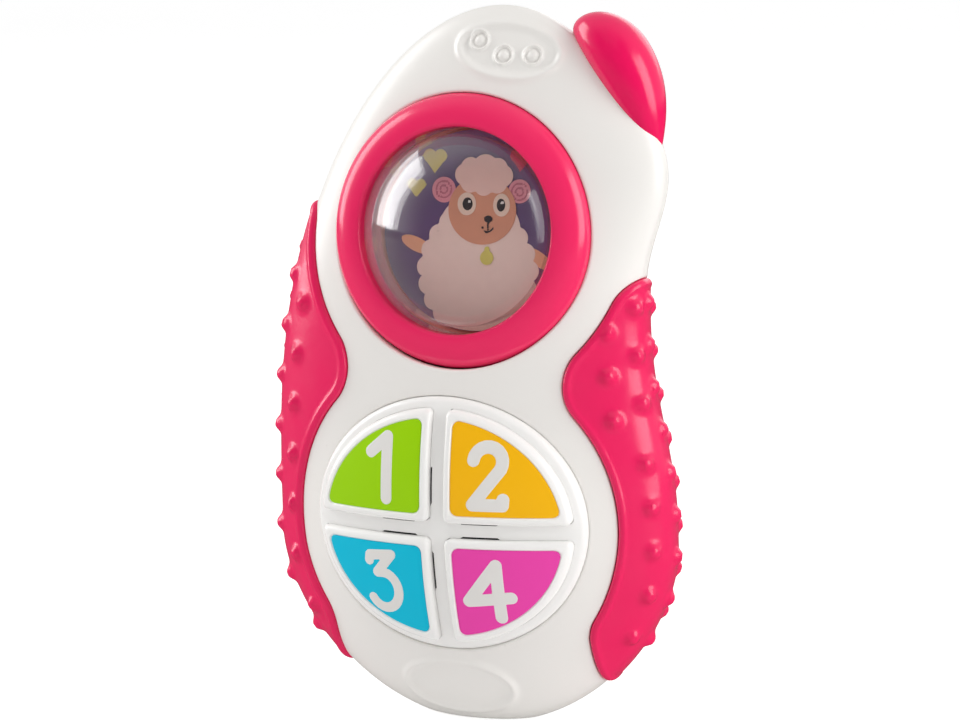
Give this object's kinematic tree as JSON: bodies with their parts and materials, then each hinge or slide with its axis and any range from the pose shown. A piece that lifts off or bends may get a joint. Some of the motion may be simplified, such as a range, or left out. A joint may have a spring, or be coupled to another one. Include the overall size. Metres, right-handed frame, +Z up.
{
  "type": "toy cell phone",
  "caption": "Bean-shaped toy phone with soft side grips, a picture window under a clear dome, four press keys, a stub antenna, a rear speaker and a screwed battery door.",
  "frame": {"origin": "on the ground plane, under the middle of the phone's bounding box as it stands upright", "axes": "+Z up the phone to its top, +X to the viewer's right when looking at the face, the face looks to -Y and the back to +Y"},
  "size_m": [0.0926, 0.0387, 0.1516],
  "materials": {
    "white_shell": "smooth satin-gloss moulded plastic",
    "white_keys": "smooth gloss moulded plastic",
    "pink_grip": "soft satin over-moulded rubber with raised bumps",
    "pink_gloss": "gloss moulded plastic",
    "clear_dome": "clear polished plastic",
    "picture": "printed card",
    "cup_pink": "moulded plastic",
    "label_green": "printed film",
    "label_orange": "printed film",
    "label_cyan": "printed film",
    "label_magenta": "printed film",
    "silicone": "matte silicone",
    "carbon": "conductive rubber",
    "board_green": "solder-masked laminate",
    "chip_black": "epoxy",
    "component_blue": "component cases",
    "inner_plastic": "unpolished moulded plastic",
    "cell_wrap": "plain plastic sleeve",
    "plated_steel": "nickel-plated spring steel",
    "screw_steel": "zinc-plated steel",
    "magnet_steel": "pressed steel",
    "dark_plastic": "matte moulded plastic",
    "paper_cone": "paper",
    "wire_red": "vinyl sleeve",
    "wire_yellow": "vinyl sleeve"
  },
  "bodies": {
    "phone": {"front_shell": "white_shell", "back_shell": "white_shell", "left_grip": "pink_grip", "right_grip": "pink_grip", "antenna": "pink_gloss", "window_ring": "pink_gloss", "dome_lens": "clear_dome", "picture_card": "picture", "picture_cup": "cup_pink", "window_screws": "screw_steel", "keypad_plate": "white_shell", "key_membrane": "silicone", "contact_pills": "carbon", "main_board": "board_green", "sound_chip": "chip_black", "board_parts": "component_blue", "keypad_screws": "screw_steel", "battery_box": "inner_plastic", "cell_left": "cell_wrap", "cell_right": "cell_wrap", "battery_contacts": "plated_steel", "switch_body": "plated_steel", "speaker_frame": "dark_plastic", "speaker_cone": "paper_cone", "speaker_magnet": "magnet_steel", "speaker_screws": "screw_steel", "case_screws": "screw_steel", "battery_wires": "wire_red", "speaker_wires": "wire_yellow"},
    "key_1": {"key_1": "white_keys", "label_1": "label_green"},
    "key_2": {"key_2": "white_keys", "label_2": "label_orange"},
    "key_3": {"key_3": "white_keys", "label_3": "label_cyan"},
    "key_4": {"key_4": "white_keys", "label_4": "label_magenta"},
    "power_switch": {"switch_knob": "dark_plastic"},
    "door": {"battery_door": "white_shell", "door_screw": "screw_steel"}
  },
  "joints": [
    {"name": "key_1_press", "type": "slide", "parent": "phone", "child": "key_1", "axis": [0, 0.9983, 0.0576], "range_m": [0, 0.0015], "stiffness_N_per_m": 400},
    {"name": "key_2_press", "type": "slide", "parent": "phone", "child": "key_2", "axis": [0, 0.9983, 0.0576], "range_m": [0, 0.0015], "stiffness_N_per_m": 400},
    {"name": "key_3_press", "type": "slide", "parent": "phone", "child": "key_3", "axis": [0, 0.9983, 0.0576], "range_m": [0, 0.0015], "stiffness_N_per_m": 400},
    {"name": "key_4_press", "type": "slide", "parent": "phone", "child": "key_4", "axis": [0, 0.9983, 0.0576], "range_m": [0, 0.0015], "stiffness_N_per_m": 400},
    {"name": "power_slide", "type": "slide", "parent": "phone", "child": "power_switch", "axis": [1, 0, 0], "range_m": [0, 0.005]},
    {"name": "door_lift_off", "type": "slide", "parent": "phone", "child": "door", "axis": [0, 1, 0], "range_m": [0, 0.03], "stiffness_N_per_m": 100}
  ]
}
